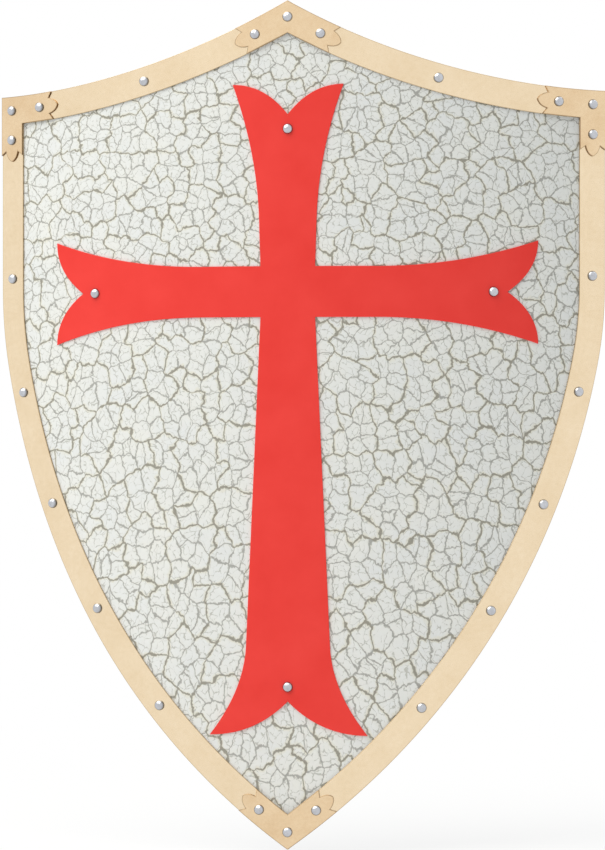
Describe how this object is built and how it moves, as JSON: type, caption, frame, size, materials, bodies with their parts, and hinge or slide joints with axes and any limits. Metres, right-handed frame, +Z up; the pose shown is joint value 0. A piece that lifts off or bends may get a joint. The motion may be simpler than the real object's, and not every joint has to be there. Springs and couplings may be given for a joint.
{
  "type": "templar shield",
  "caption": "Bowed heater shield in crackle-painted steel with a riveted red forked cross, a pale brass rim with corner plates, arm straps and a hanging ring behind.",
  "frame": {"origin": "middle of the hanger clip's flat outer face, on the shield's middle line behind the panel", "axes": "+Z up to the peak, +Y away behind the shield towards its bearer (the painted front faces -Y), +X to the right of someone who faces the front"},
  "size_m": [0.5136, 0.1266, 0.7],
  "materials": {
    "crackled_paint": "off-white paint with a fine grey-brown crackle, satin",
    "red_enamel": "smooth red enamel, glossy",
    "pale_brass": "pale brass plating, softly polished",
    "warm_brass": "warmer brass plating, softly polished",
    "bright_steel": "bright nickel plating",
    "fitting_steel": "plain steel, satin, with a little handling wear",
    "strap_leather": "brown harness leather, waxed"
  },
  "bodies": {
    "shield": {"arm_buckle_strap": "strap_leather", "arm_lower_staple": "fitting_steel", "arm_lower_strap_rivet": "bright_steel", "arm_tongue_strap": "strap_leather", "arm_upper_staple": "fitting_steel", "arm_upper_strap_rivet": "bright_steel", "buckle_frame": "bright_steel", "cross_foot_rivet": "bright_steel", "cross_head_rivet": "bright_steel", "cross_left_rivet": "bright_steel", "cross_plate": "red_enamel", "cross_right_rivet": "bright_steel", "grip_lower_staple": "fitting_steel", "grip_lower_strap_rivet": "bright_steel", "grip_strap": "strap_leather", "grip_upper_staple": "fitting_steel", "grip_upper_strap_rivet": "bright_steel", "hanger_clip": "fitting_steel", "left_corner_plate": "warm_brass", "left_corner_rivet": "bright_steel", "left_corner_side_rivet": "bright_steel", "left_corner_top_rivet": "bright_steel", "left_peak_arm_rivet": "bright_steel", "left_side_strip": "pale_brass", "left_side_strip_rivet_1": "bright_steel", "left_side_strip_rivet_2": "bright_steel", "left_side_strip_rivet_3": "bright_steel", "left_side_strip_rivet_4": "bright_steel", "left_side_strip_rivet_5": "bright_steel", "left_tip_arm_rivet": "bright_steel", "left_top_strip": "pale_brass", "left_top_strip_rivet": "bright_steel", "peak_plate": "warm_brass", "peak_rivet": "bright_steel", "right_corner_plate": "warm_brass", "right_corner_rivet": "bright_steel", "right_corner_side_rivet": "bright_steel", "right_corner_top_rivet": "bright_steel", "right_peak_arm_rivet": "bright_steel", "right_side_strip": "pale_brass", "right_side_strip_rivet_1": "bright_steel", "right_side_strip_rivet_2": "bright_steel", "right_side_strip_rivet_3": "bright_steel", "right_side_strip_rivet_4": "bright_steel", "right_side_strip_rivet_5": "bright_steel", "right_tip_arm_rivet": "bright_steel", "right_top_strip": "pale_brass", "right_top_strip_rivet": "bright_steel", "shield_panel": "crackled_paint", "strap_keeper": "strap_leather", "tip_plate": "warm_brass", "tip_rivet": "bright_steel"},
    "ring": {"hanging_ring": "fitting_steel"},
    "prong": {"buckle_prong": "bright_steel"},
    "roller": {"buckle_roller": "bright_steel"}
  },
  "joints": [
    {"name": "ring_swing", "type": "hinge", "parent": "shield", "child": "ring", "pos_m": [0, -0.0048, 0], "axis": [1, 0, 0], "range_deg": [0, 175]},
    {"name": "prong_hinge", "type": "hinge", "parent": "shield", "child": "prong", "pos_m": [0.09099, 0.09558, -0.243], "axis": [0.9779, 0.2093, 0], "range_deg": [0, 25]},
    {"name": "roller_spin", "type": "hinge", "parent": "shield", "child": "roller", "pos_m": [0.09099, 0.09558, -0.267], "axis": [0.9779, 0.2093, 0], "continuous": true}
  ]
}
